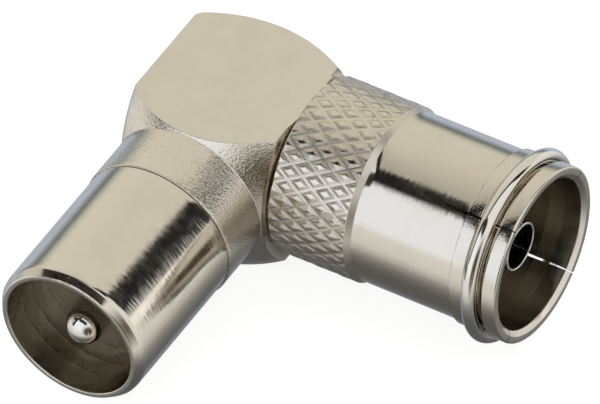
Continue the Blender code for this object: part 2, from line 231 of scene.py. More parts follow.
def turn_of(vert: bmesh.types.BMVert) -> float:
    """Return a vertex's angle about local Z, from 0 to a full turn."""
    return math.atan2(vert.co.y, vert.co.x) % math.tau


def stitch(bm: BMesh, first: list, second: list) -> None:
    """Fill between two closed rings of different counts, each in order of angle, with triangles."""
    done_first = 0
    done_second = 0
    while done_first < len(first) or done_second < len(second):
        here = first[done_first % len(first)]
        there = second[done_second % len(second)]
        next_here = first[(done_first + 1) % len(first)]
        next_there = second[(done_second + 1) % len(second)]
        turn_here = turn_of(next_here) + (math.tau if done_first + 1 >= len(first) else 0.0)
        turn_there = turn_of(next_there) + (math.tau if done_second + 1 >= len(second) else 0.0)
        if done_second >= len(second) or (done_first < len(first) and turn_here <= turn_there):
            bm.faces.new((here, next_here, there))
            done_first += 1
        else:
            bm.faces.new((here, next_there, there))
            done_second += 1


@dataclass(frozen=True)
class Saw:
    """Saw cuts along a turned tube.

    Attributes:
        angles: Angle of each slit about the leg, in radians.
        width: Width of a slit at its closed end, in millimetres.
        start: Station of the slits' closed end; they run out through the mouth.
        mouth_width: Width at the mouth, narrower because the fingers are set inwards.
        mouth: Station of the mouth.
    """

    angles: tuple[float, ...]
    width: float
    start: float
    mouth_width: float
    mouth: float

    def half_turn(self, along: float, radius: float) -> float:
        """Return half the angle, in radians, that a slit takes up at one station and radius."""
        share = max(0.0, min(1.0, (along - self.start) / (self.mouth - self.start)))
        width = self.width + (self.mouth_width - self.width) * share
        return math.asin(min(0.9, width / 2.0 / radius))


def sawn_tube(outline: Outline, saw: Saw, steps: int) -> BMesh:
    """Turn a closed outline into a tube with slits.

    Args:
        outline: The closed (along, radius) outline.
        saw: The slits.
        steps: Facets in each finger between two slits.

    Returns:
        The mesh, in millimetres in the leg's frame.
    """
    points = split_at(outline, saw.start)
    in_slit = [along > saw.start - 1e-6 for along, _ in points]
    bm = bmesh.new()
    columns = []
    fingers = len(saw.angles)
    for finger in range(fingers):
        low = saw.angles[finger]
        high = saw.angles[(finger + 1) % fingers] + (math.tau if finger == fingers - 1 else 0.0)
        for step in range(steps + 1):
            share = step / steps
            column = []
            for along, radius in points:
                half = saw.half_turn(along, radius)
                turn = (low + half) + ((high - half) - (low + half)) * share
                column.append(bm.verts.new((radius * math.cos(turn), radius * math.sin(turn), along)))
            columns.append((finger, step, column))
    count = len(points)
    for index, (finger, step, column) in enumerate(columns):
        _, _, following = columns[(index + 1) % len(columns)]
        across = step == steps
        for number in range(count):
            after = (number + 1) % count
            if across and in_slit[number] and in_slit[after]:
                continue
            bm.faces.new((column[number], column[after], following[after], following[number]))
        if across:
            close_slit(bm, in_slit, column, following)
    return bm


def close_slit(bm: BMesh, in_slit: list[bool], column: list, following: list) -> None:
    """Give one slit its two walls and its closed end.

    Args:
        bm: The mesh being made.
        in_slit: Whether each point of the outline lies along the slit.
        column: The vertices on one side of the slit.
        following: The vertices on its other side.
    """
    count = len(in_slit)
    first = next(n for n in range(count) if in_slit[n] and not in_slit[n - 1])
    run = []
    number = first
    while in_slit[number % count] and len(run) < count:
        run.append(number % count)
        number += 1
    bm.faces.new([column[n] for n in run])
    bm.faces.new([following[n] for n in reversed(run)])
    bm.faces.new((column[run[0]], following[run[0]], following[run[-1]], column[run[-1]]))


def add_object(name: str, bm: BMesh) -> bpy.types.Object:
    """Return a linked object made of a mesh, which is freed here."""
    mesh = bpy.data.meshes.new(name)
    bm.to_mesh(mesh)
    bm.free()
    return link_object(name, mesh)


def link_object(name: str, data: bpy.types.ID) -> bpy.types.Object:
    """Return an object of some data, linked to the scene."""
    made = bpy.data.objects.new(name, data)
    bpy.context.scene.collection.objects.link(made)
    return made


def merge_in(bm: BMesh, other: BMesh) -> None:
    """Add another mesh to a mesh; the other is freed here."""
    carried = bpy.data.meshes.new("carried")
    other.to_mesh(carried)
    other.free()
    bm.from_mesh(carried)
    bpy.data.meshes.remove(carried)


def evaluated_mesh(piece: bpy.types.Object) -> bpy.types.Mesh:
    """Return a piece's mesh with its modifiers worked in."""
    bpy.context.view_layer.update()
    return bpy.data.meshes.new_from_object(piece.evaluated_get(bpy.context.evaluated_depsgraph_get()))


def keep_flats_flat(piece: bpy.types.Object) -> None:
    """Weight a piece's normals by face area, so that its flats shade flat up to their rounded edges."""
    weighted = piece.modifiers.new("flat_faces", "WEIGHTED_NORMAL")
    weighted.keep_sharp = True
    weighted.weight = FLAT_WEIGHT
    shaded = evaluated_mesh(piece)
    piece.modifiers.remove(weighted)
    piece.data = shaded


@dataclass(frozen=True)
class Coat:
    """How the plate has come out on one face, each from 0 to 1.

    Attributes:
        grainy: How much of the cast or cut grain shows through.
        dull: How matt it is, as inside a bore.
        stain_and_shade: How much of the stain colour is laid on: real stains on some faces, painted shade on
            others.
    """

    grainy: float = 0.0
    dull: float = 0.0
    stain_and_shade: float = 0.0


def even_coat(place: Vector, normal: Vector) -> Coat:
    """Return the coat of a face that is clean and bright."""
    return Coat()


def finished(name: str, bm: BMesh, placing: Matrix, node: str, slot: Slot, finish: "Finish",
             coat: Callable[[Vector, Vector], Coat] = even_coat) -> bpy.types.Object:
    """Make a piece of a mesh, place it in its vertices and hang it on the frame.

    Args:
        name: Name of the piece.
        bm: The mesh, freed here.
        placing: From the mesh's frame to the row frame.
        node: The CAD node that the piece stands for.
        slot: The record's material slot; not used.
        finish: The piece's finish.
        coat: From a face's middle and normal in the mesh's frame to its coat.

    Returns:
        The piece.
    """
    bmesh.ops.remove_doubles(bm, verts=bm.verts, dist=SAME_PLACE)
    bmesh.ops.recalc_face_normals(bm, faces=bm.faces)
    coats = [coat(face.calc_center_median(), face.normal) for face in bm.faces]
    bm.transform(placing)
    bmesh.ops.recalc_face_normals(bm, faces=bm.faces)
    piece = add_object(name, bm)
    mesh = piece.data
    for kind in ("grainy", "dull", "stain_and_shade"):
        shares = mesh.attributes.new(kind, "FLOAT", "FACE")
        shares.data.foreach_set("value", np.asarray([getattr(one, kind) for one in coats], np.float32))
    mesh.materials.append(finish.material())
    mesh.shade_smooth()
    mesh.set_sharp_from_angle(angle=SHARP_TURN)
    keep_flats_flat(piece)
    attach(piece, BODY)
    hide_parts(node)
    LOG.info("%s: %d faces", name, len(piece.data.polygons))
    return piece


class Bench:
    """A small helper that adds and joins the nodes of one tree."""

    def __init__(self, tree: bpy.types.NodeTree) -> None:
        """Take the tree to add to."""
        self.tree = tree

    def add(self, kind: str, inputs: dict | None = None, **settings: object) -> bpy.types.Node:
        """Add a node.

        Args:
            kind: Blender's name for the kind of node.
            inputs: Values or sockets for its inputs, by name or index.
            settings: Properties of the node.

        Returns:
            The node.
        """
        node = self.tree.nodes.new(kind)
        for key, value in settings.items():
            setattr(node, key, value)
        for key, value in (inputs or {}).items():
            socket = node.inputs[key]
            if isinstance(value, Socket):
                self.tree.links.new(value, socket)
            else:
                socket.default_value = value
        return node

    def calc(self, operation: str, *values: object) -> Socket:
        """Return the result of one calculation on values or sockets."""
        return self.add("ShaderNodeMath", dict(enumerate(values)), operation=operation).outputs[0]

    def place_node(self, along: object, x: object = 0.0, y: object = 0.0) -> Socket:
        """Return a vector made of three values."""
        return self.add("ShaderNodeCombineXYZ", {"X": x, "Y": y, "Z": along}).outputs["Vector"]

    def backdrop_share(self, seen: float, unseen: float) -> Socket:
        """Return one strength for the camera, metal and glass, and another for all other light."""
        path = self.add("ShaderNodeLightPath").outputs
        direct = self.calc("MAXIMUM", path["Is Camera Ray"], path["Is Glossy Ray"])
        either = self.calc("MAXIMUM", direct, path["Is Transmission Ray"])
        mapped = self.add("ShaderNodeMapRange", {"Value": either, "To Min": unseen, "To Max": seen})
        return mapped.outputs["Result"]


class PlateBench(Bench):
    """The helper for a piece's material, with a Principled shader on Object coordinates."""

    def __init__(self, name: str) -> None:
        """Start the material of that name."""
        self.made = bpy.data.materials.new(name)
        self.made.use_nodes = True
        super().__init__(self.made.node_tree)
        self.shader = self.tree.nodes["Principled BSDF"]
        self.place = self.add("ShaderNodeTexCoord").outputs["Object"]

    def join(self, source: Socket, name: str) -> None:
        """Join a socket to one of the shader's inputs by name."""
        self.tree.links.new(source, self.shader.inputs[name])

    def noise(self, scale: tuple[float, float, float], detail: float = 2.0,
              roughness: float = 0.55) -> Socket:
        """Return noise on Object coordinates.

        Args:
            scale: Features per millimetre along X, Y and Z.
            detail: Octaves of the noise.
            roughness: Weight of the finer octaves.

        Returns:
            The noise's value, from 0 to 1.
        """
        stretch = self.add("ShaderNodeMapping", {"Vector": self.place, "Scale": tuple(s / MM for s in scale)})
        return self.add("ShaderNodeTexNoise", {
            "Vector": stretch.outputs["Vector"], "Scale": 1.0, "Detail": detail,
            "Roughness": roughness}).outputs["Fac"]

    def spread(self, value: Socket, low: float, high: float, to_low: float, to_high: float) -> Socket:
        """Map a value's range, from low to high, smoothly onto the one from to_low to to_high."""
        made = self.add("ShaderNodeMapRange", {"Value": value, "From Min": low, "From Max": high,
                                               "To Min": to_low, "To Max": to_high},
                        interpolation_type="SMOOTHSTEP")
        return made.outputs["Result"]

    def mix(self, share: Socket, first: Colour | Socket, second: Colour | Socket) -> Socket:
        """Mix two colours, each a tuple or a socket, by the share of the second."""
        first, second = (colour if isinstance(colour, Socket) else (*colour, 1.0)
                         for colour in (first, second))
        return self.add("ShaderNodeMix", {0: share, 6: first, 7: second}, data_type="RGBA").outputs[2]

    def share(self, name: str) -> Socket:
        """Return one part of the faces' coat, by its attribute's name."""
        return self.add("ShaderNodeAttribute", attribute_name=name).outputs["Fac"]

    def bump(self, height: Socket, depth: float, under: Socket | None = None,
             strength: Socket | float = 1.0) -> Socket:
        """Return a normal raised by a height.

        Args:
            height: The height, from 0 to 1.
            depth: Height of 1, in millimetres.
            under: A normal that this one is laid over.
            strength: How strongly it shows.

        Returns:
            The normal.
        """
        inputs = {"Height": height, "Strength": strength, "Distance": depth * MM}
        if under is not None:
            inputs["Normal"] = under
        return self.add("ShaderNodeBump", inputs).outputs["Normal"]


class Lay(Enum):
    """Which way the fine marks of a finish run."""

    ROUND_PLUG = (0.12, 1.0, 0.12)
    ROUND_SOCKET = (1.0, 0.12, 0.12)
    NONE = (1.0, 1.0, 1.0)


@dataclass(frozen=True)
class Finish:
    """A nickel-plated finish.

    Attributes:
        name: Name of the material.
        colour: Plain colour of the plate.
        shade: Colour of its duller patches.
        roughness: Roughness of the plate.
        roughness_spread: How much the roughness varies.
        grain: Height of the grain, in millimetres.
        grain_scale: Grains per millimetre.
        lay: Which way the fine marks run.
        lay_depth: Height of the fine marks, in millimetres.
        lay_scale: Fine marks per millimetre.
        pits: How much the pits show, from 0 to 1.
        pit_colour: Colour of the pits.
        stain_and_shade_colour: Colour of the stains, also used for painted shade.
        metallic: 1 for metal, 0 for plastic.
    """

    name: str
    colour: Colour = (0.68, 0.635, 0.55)
    shade: Colour = (0.60, 0.54, 0.44)
    roughness: float = 0.1
    roughness_spread: float = 0.04
    grain: float = 0.012
    grain_scale: float = 8.0
    lay: Lay = Lay.NONE
    lay_depth: float = 0.0
    lay_scale: float = 6.0
    pits: float = 0.0
    pit_colour: Colour = (0.34, 0.27, 0.16)
    stain_and_shade_colour: Colour = (0.23, 0.13, 0.06)
    metallic: float = 1.0

    def material(self) -> bpy.types.Material:
        """Return the material, made once."""
        made = bpy.data.materials.get(self.name)
        if made:
            return made
        bench = PlateBench(self.name)
        bench.shader.inputs["Metallic"].default_value = self.metallic
        cloud = bench.noise((0.35,) * 3, 3.0)
        colour = bench.mix(bench.spread(cloud, 0.42, 0.72, 0.0, 0.3), self.colour, self.shade)
        grain = bench.noise((self.grain_scale,) * 3, 2.0, 0.6)
        share = bench.share("grainy")
        dull = bench.share("dull")
        if self.pits > 0.0:
            pit = bench.calc("MULTIPLY", bench.spread(grain, 0.58, 0.70, 0.0, self.pits), share)
            colour = bench.mix(pit, colour, self.pit_colour)
        # The stain colour, broken up by noise, goes where the faces' coat asks for it: real stains on some
        # faces, painted shade on others.
        blot = bench.spread(bench.noise((1.3,) * 3, 4.0, 0.65), 0.42, 0.62, 0.15, 0.95)
        colour = bench.mix(bench.calc("MULTIPLY", blot, bench.share("stain_and_shade")), colour, self.stain_and_shade_colour)
        bench.join(colour, "Base Color")
        gloss = bench.spread(bench.noise((1.4,) * 3, 3.0), 0.3, 0.7, self.roughness - self.roughness_spread,
                             self.roughness + self.roughness_spread)
        bench.join(bench.calc("ADD", gloss, bench.calc("MULTIPLY", dull, 0.35)), "Roughness")
        normal = bench.bump(grain, self.grain, strength=share)
        if self.lay is not Lay.NONE:
            marks = bench.noise(tuple(self.lay_scale * stretch for stretch in self.lay.value))
            normal = bench.bump(marks, self.lay_depth, normal, bench.spread(dull, 0.0, 1.0, 1.0, 0.15))
        bench.join(normal, "Normal")
        return bench.made


CAST = Finish("cast_nickel_plate", grain=0.026, grain_scale=7.5, roughness=0.10, pits=0.35)
PLUG_PLATE = Finish("plug_nickel_plate", lay=Lay.ROUND_PLUG, lay_depth=0.005, roughness=0.11)
SOCKET_PLATE = Finish("socket_nickel_plate", lay=Lay.ROUND_SOCKET, lay_depth=0.0035, roughness=0.10,
                      grain=0.02, pits=0.6)
BRIGHT = Finish("bright_nickel_plate", colour=(0.74, 0.71, 0.65), shade=(0.66, 0.61, 0.53), roughness=0.07,
                roughness_spread=0.02)
NATURAL = Finish("natural_plastic_bush", colour=(0.82, 0.80, 0.74), shade=(0.76, 0.73, 0.66), roughness=0.45,
                 metallic=0.0)


@dataclass
class Casting:
    """The die-cast elbow: a square block with domed ends and a round neck.

    Its mesh is turned about the plug's axis in columns of varying reach, then carved where the socket
    meets it.
    """

    half_height: float = AXIS_HEIGHT
    left: float = 4.60
    face: float = 5.03
    rim_radius: float = 5.21
    rim_taper: float = 0.30
    rim_height: float = 0.14
    back: float = 4.75
    front: float = 5.69
    front_dome: float = 8.3
    rear_dome: float = 10.4
    rear_flat: float = 4.28
    rear_shift: float = 0.25
    neck_radius: float = 4.838
    neck_end: float = 9.02
    neck_rounding: float = 0.05
    seam_rounding: float = 0.12
    edge: float = 0.06
    corner_edge: float = 0.12
    left_edge: float = 0.8
    plug_spigot: float = 3.95
    socket_spigot: float = 3.75
    plug_seat: float = 5.2
    socket_seat: float = 2.5
    pin_way: float = 2.7
    contact_way: float = 2.3
    columns: int = 72
    dome_rows: int = 14
    side_rows: int = 8
    crowding: float = 0.82
    margin: float = 0.6
    trim_start: float = -9.0
    trim_reach: float = 14.0
    pin_way_start: float = -2.4
    contact_way_start: float = -2.3

    def reach(self, turn: float) -> float:
        """Return how far the bar's side lies from the plug's axis in one direction, from local X."""
        along_x = abs(math.cos(turn))
        along_y = abs(math.sin(turn))
        wide = self.left if math.cos(turn) < 0.0 else self.face + self.margin
        flat = min(wide / max(along_x, 1e-9), self.half_height / max(along_y, 1e-9))
        inner_x = wide - self.corner_edge
        inner_y = self.half_height - self.corner_edge
        if flat * along_x > inner_x and flat * along_y > inner_y:
            dot = inner_x * along_x + inner_y * along_y
            gap = inner_x ** 2 + inner_y ** 2 - self.corner_edge ** 2
            return dot + math.sqrt(max(0.0, dot ** 2 - gap))
        return flat

    def turns(self) -> list[float]:
        """Return the directions of the mesh's columns, crowded at the bar's four edges."""
        right_edge = math.atan2(self.half_height, self.face + self.margin)
        left_edge = math.pi - math.atan2(self.half_height, self.left)
        edges = [right_edge, left_edge, math.tau - left_edge, math.tau - right_edge]
        found = []
        for first, second in zip(edges, edges[1:] + [edges[0] + math.tau]):
            for number in range(self.columns):
                share = number / self.columns
                eased = share - math.sin(math.tau * share) / math.tau * self.crowding
                found.append(first + (second - first) * eased)
        return found

    def eased_edge(self, x: float, slope: float) -> float:
        """Return how far the left side's rounding lowers a domed end that falls that steeply at x."""
        inside = max(0.0, x + self.left)
        steep = math.hypot(1.0, slope)
        if inside >= self.left_edge * (1.0 - slope / steep):
            return 0.0
        circle = self.left_edge * (slope - steep)
        circle += math.sqrt(self.left_edge ** 2 - (inside - self.left_edge) ** 2)
        return slope * inside - circle

    def front_point(self, turn: float, radius: float) -> float:
        """Return the station of the front dome in one direction at one distance from the axis."""
        centre = self.front - math.sqrt(self.front_dome ** 2 - self.neck_radius ** 2)
        height = math.sqrt(self.front_dome ** 2 - radius ** 2)
        x = radius * math.cos(turn)
        return centre + height - self.eased_edge(x, max(0.0, -x) / height)

    def rear_point(self, turn: float, radius: float) -> float:
        """Return the station of the rear dome in one direction at one distance from the axis."""
        centre = -self.back + math.sqrt(self.rear_dome ** 2 - self.rear_flat ** 2)
        x = radius * math.cos(turn)
        away = math.hypot(x - self.rear_shift, radius * math.sin(turn))
        height = math.sqrt(self.rear_dome ** 2 - away ** 2)
        return centre - height + self.eased_edge(x, max(0.0, self.rear_shift - x) / height)

    def radii(self, turn: float, reach: float, end: float) -> list[float]:
        """Return the distances, from the side to the end, where a dome is drawn, crowded at the edge."""
        inset = 0.012 + 0.1 * smooth((math.cos(turn) + 0.6) / 0.5)
        first = min(inset / abs(end - reach), 0.4)
        last = self.dome_rows - 1
        shares = [0.0] + [first + (1.0 - first) * (number / last) ** 1.8 for number in range(self.dome_rows)]
        return [reach + (end - reach) * share for share in shares]

    def outline(self, turn: float) -> Outline:
        """Return the block's outline in one direction, from the back's flat to the neck's end."""
        reach = self.reach(turn)
        flat = self.rear_shift * math.cos(turn)
        flat += math.sqrt(self.rear_flat ** 2 - (self.rear_shift * math.sin(turn)) ** 2)
        rear = list(reversed(self.radii(turn, reach, flat)))
        front = self.radii(turn, reach, self.neck_radius)
        corners = [Corner(-self.back, flat - 1.0), Corner(self.rear_point(turn, rear[0]), rear[0], self.edge)]
        corners += [Corner(self.rear_point(turn, radius), radius) for radius in rear[1:-1]]
        first = self.rear_point(turn, reach)
        last = self.front_point(turn, reach)
        corners.append(Corner(first, reach, self.edge))
        corners += [Corner(first + (last - first) * number / self.side_rows, reach)
                    for number in range(1, self.side_rows)]
        corners.append(Corner(last, reach, self.edge))
        corners += [Corner(self.front_point(turn, radius), radius) for radius in front[1:-1]]
        corners += [Corner(self.front_point(turn, self.neck_radius), self.neck_radius, self.seam_rounding),
                    Corner(self.neck_end - 0.3, self.neck_radius),
                    Corner(self.neck_end, self.neck_radius, self.neck_rounding),
                    Corner(self.neck_end, self.plug_spigot)]
        return rounded(corners, closed=False, fixed_steps=4)

    def block(self) -> BMesh:
        """Return the block and neck as one closed mesh in the plug's frame."""
        bm = bmesh.new()
        columns = [[ring_at(bm, along, radius, [turn])[0] for along, radius in self.outline(turn)]
                   for turn in self.turns()]
        for first, second in zip(columns, columns[1:] + columns[:1]):
            for number in range(len(first) - 1):
                bm.faces.new((first[number], second[number], second[number + 1], first[number + 1]))
        bm.faces.new([column[0] for column in columns])
        bm.faces.new([column[-1] for column in columns])
        return bm

    def draft(self, name: str, bm: BMesh, leg: Leg) -> bpy.types.Object:
        """Return a plain object that a Boolean works on, placed in the row frame."""
        bm.transform(leg.matrix)
        bmesh.ops.recalc_face_normals(bm, faces=bm.faces)
        return add_object(name, bm)

    def coat(self, place: Vector, normal: Vector) -> Coat:
        """Return a face's coat: the ground flats and the face are smooth, the rest is as cast."""
        if abs(normal.z) > 0.999:
            return Coat(grainy=0.05)
        if place.x > (self.face - self.rim_height - 0.02) * MM:
            return Coat(grainy=0.3)
        return Coat(grainy=1.0)

    def build(self) -> bpy.types.Object:
        """Return the dressed casting."""
        draft = self.draft("elbow_draft", self.block(), Leg.PLUG)
        inner = self.face - self.rim_height
        trim = [(self.trim_start, 0.0), (self.trim_start, self.trim_reach), (inner, self.trim_reach),
                (inner, self.rim_radius + self.rim_taper), (self.face - 0.03, self.rim_radius + 0.05),
                (self.face, self.rim_radius - 0.04), (self.face, 0.0)]
        plug_way = self.way(self.pin_way_start, self.pin_way, self.plug_seat, self.plug_spigot, self.neck_end)
        socket_way = self.way(self.contact_way_start, self.contact_way, self.socket_seat, self.socket_spigot,
                              self.face)
        cuts = (("INTERSECT", trim, Leg.SOCKET), ("DIFFERENCE", plug_way, Leg.PLUG),
                ("DIFFERENCE", socket_way, Leg.SOCKET))
        spares = [draft]
        for number, (operation, outline, leg) in enumerate(cuts):
            boolean = draft.modifiers.new(f"cut_{number}", "BOOLEAN")
            boolean.operation = operation
            boolean.solver = "EXACT"
            boolean.object = self.draft(f"cutter_{number}", spin(outline, CUTTER_FACETS, closed=False), leg)
            spares.append(boolean.object)
        result = bmesh.new()
        result.from_mesh(evaluated_mesh(draft))
        for spare in spares:
            bpy.data.objects.remove(spare)
        return finished("elbow_casting", result, Matrix.Identity(4), "elbow_body", Slot.CAST, CAST, self.coat)

    @staticmethod
    def way(start: float, narrow: float, seat: float, wide: float, end: float) -> Outline:
        """Return the outline of a bore that steps from narrow to wide at a seat, from axis to axis."""
        end += 1.0
        return [(start, 0.0), (start, narrow), (seat, narrow), (seat, wide), (end, wide), (end, 0.0)]


@dataclass
class PlugLeg:
    """The plug's tube, its pin and the bush between them."""

    radius: float = 4.75
    bore: float = 4.12
    start: float = 9.04
    mouth: float = 18.69
    depth: float = 8.78
    lead: Outline = ((0.73, 0.0), (0.62, 0.010), (0.51, 0.022), (0.43, 0.034))
    chamfer: Outline = ((0.43, 0.034), (0.04, 0.297))
    marks: int = 8
    mark_depth: float = 0.0025
    spigot: float = 3.93
    spigot_end: float = 5.4
    spigot_bore: float = 2.7
    turned_lines: tuple[float, ...] = (1.6, 2.7, 3.9)
    line_width: float = 0.07
    line_depth: float = 0.003
    pin_radius: float = 1.14
    pin_shank: float = 0.95
    pin_recess: float = 0.34
    pin_lean: tuple[float, float] = (0.21, -0.12)
    pin_start: float = -1.3
    nose_steps: int = 30
    flange: float = 1.3
    # Turn of the bore's painted shade, in degrees from the top.
    shaded_side_turn: float = 150.0
    # Turn and half width of the darker patch on the chamfer, in degrees from the top.
    dark_rim_turn: float = 4.0
    dark_rim_half: float = 30.0

    def tube(self) -> bpy.types.Object:
        """Return the plug's tube."""
        floor = self.mouth - self.depth
        corners = [Corner(self.spigot_end, self.spigot_bore), Corner(self.spigot_end, self.spigot, 0.1),
                   Corner(self.start, self.spigot), Corner(self.start, self.radius, 0.06),
                   Corner(self.start + 0.4, self.radius)]
        corners += [Corner(self.mouth - back, self.radius - drop) for back, drop in self.lead]
        for (back, drop), (next_back, next_drop) in zip(self.chamfer, self.chamfer[1:]):
            for number in range(1, 2 * self.marks + 1):
                share = number / (2.0 * self.marks)
                fall = drop + (next_drop - drop) * share + self.mark_depth * (number % 2)
                corners.append(Corner(self.mouth - back - (next_back - back) * share, self.radius - fall))
        corners += [Corner(self.mouth, self.radius - self.chamfer[-1][1] - 0.07, 0.03),
                    Corner(self.mouth, self.bore, 0.07)]
        for line in self.turned_lines:
            station = self.mouth - line
            corners += [Corner(station + 0.5 * self.line_width, self.bore),
                        Corner(station, self.bore + self.line_depth),
                        Corner(station - 0.5 * self.line_width, self.bore)]
        corners += [Corner(floor, self.bore, 0.1), Corner(floor, self.spigot_bore, 0.05)]
        bm = spin(rounded(corners, closed=True), TUBE_FACETS, closed=True)
        return finished("plug_tube", bm, Leg.PLUG.matrix, "plug_shell", Slot.TURNED, PLUG_PLATE, self.coat)

    def coat(self, place: Vector, normal: Vector) -> Coat:
        """Return a face's coat: the bore is dull, its turned lines stained and its lower side towards +X
        given painted shade; the chamfer is darker near the top of the rim.
        """
        away = place.xy.length
        if away < self.bore + 0.03:
            on_line = any(abs(place.z - self.mouth + line) < 0.5 * self.line_width
                          for line in self.turned_lines)
            # Painted shade: the bore's side about 150 degrees from the top, low towards +X, gets the darker
            # stain colour and less roughness; the turned lines are stained dark.
            below = smooth(0.1 + math.cos(math.atan2(place.x, place.y) - math.radians(self.shaded_side_turn)))
            return Coat(dull=0.5 - 0.4 * below, stain_and_shade=1.0 if on_line else 0.3 * below)
        # The chamfer is made darker and browner near the top of the rim.
        if place.z > self.mouth - self.chamfer[0][0] - 0.01 and normal.z < 0.95 and away > self.bore + 0.2:
            off_top = abs(math.degrees(math.atan2(place.x, place.y)) - self.dark_rim_turn)
            near_rim = smooth((place.z - self.mouth + self.chamfer[0][0]) / 0.25)
            return Coat(stain_and_shade=0.9 * smooth((self.dark_rim_half - off_top) / 12.0) * (0.25 + 0.75 * near_rim))
        return Coat()

    def pin_coat(self, place: Vector, normal: Vector) -> Coat:
        """Return a face's coat on the pin: only its nose is a mirror."""
        return Coat(dull=0.0 if place.z > self.mouth - self.pin_recess - 1.1 * self.pin_radius else 0.5)

    def bush(self) -> bpy.types.Object:
        """Return the bush that holds the pin."""
        floor = self.mouth - self.depth
        bm = spin(bush_outline(floor, self.bore - 0.05, self.spigot_bore - 0.05, self.pin_shank + 0.03,
                               self.spigot_end, self.flange), CORE_FACETS, closed=True)
        return finished("plug_bush", bm, Leg.PLUG.matrix, "plug_insulator", Slot.PLASTIC, NATURAL)

    def pin(self) -> bpy.types.Object:
        """Return the centre pin, with its rounded nose."""
        shoulder = self.mouth - self.depth + self.flange + 0.05
        nose_centre = self.mouth - self.pin_recess - self.pin_radius
        corners = [Corner(self.pin_start, 0.0), Corner(self.pin_start, self.pin_shank, 0.1),
                   Corner(shoulder, self.pin_shank),
                   Corner(shoulder, self.pin_radius, 0.08), Corner(nose_centre - 3.0, self.pin_radius),
                   Corner(nose_centre - 0.8, self.pin_radius)]
        corners += nose_points(nose_centre, self.pin_radius, self.nose_steps)
        outline = rounded(corners, closed=False)
        outline[-1] = (outline[-1][0], 0.0)
        bm = spin(outline, CORE_FACETS, closed=False)
        for vert in bm.verts:
            share = max(0.0, vert.co.z - shoulder) / (nose_centre - shoulder)
            vert.co.x += self.pin_lean[0] * share
            vert.co.y += self.pin_lean[1] * share
        return finished("plug_pin_turned", bm, Leg.PLUG.matrix, "plug_pin", Slot.BRIGHT, BRIGHT,
                        self.pin_coat)


def bush_outline(floor: float, flange_radius: float, tail_radius: float, bore: float, tail_end: float,
                 flange: float) -> Outline:
    """Return the outline of an insulating bush.

    Args:
        floor: Station of the shell's floor that the flange seats on.
        flange_radius: Radius of the flange.
        tail_radius: Radius of the tail in the shell's spigot.
        bore: Radius of the bush's bore.
        tail_end: Station of the tail's end.
        flange: Thickness of the flange.

    Returns:
        The closed (along, radius) outline.
    """
    back = floor + 0.02
    corners = [Corner(tail_end, bore, 0.05), Corner(tail_end, tail_radius, 0.1), Corner(back, tail_radius),
               Corner(back, flange_radius, 0.05), Corner(back + flange, flange_radius, 0.12),
               Corner(back + flange, bore, 0.08)]
    return rounded(corners, closed=True)


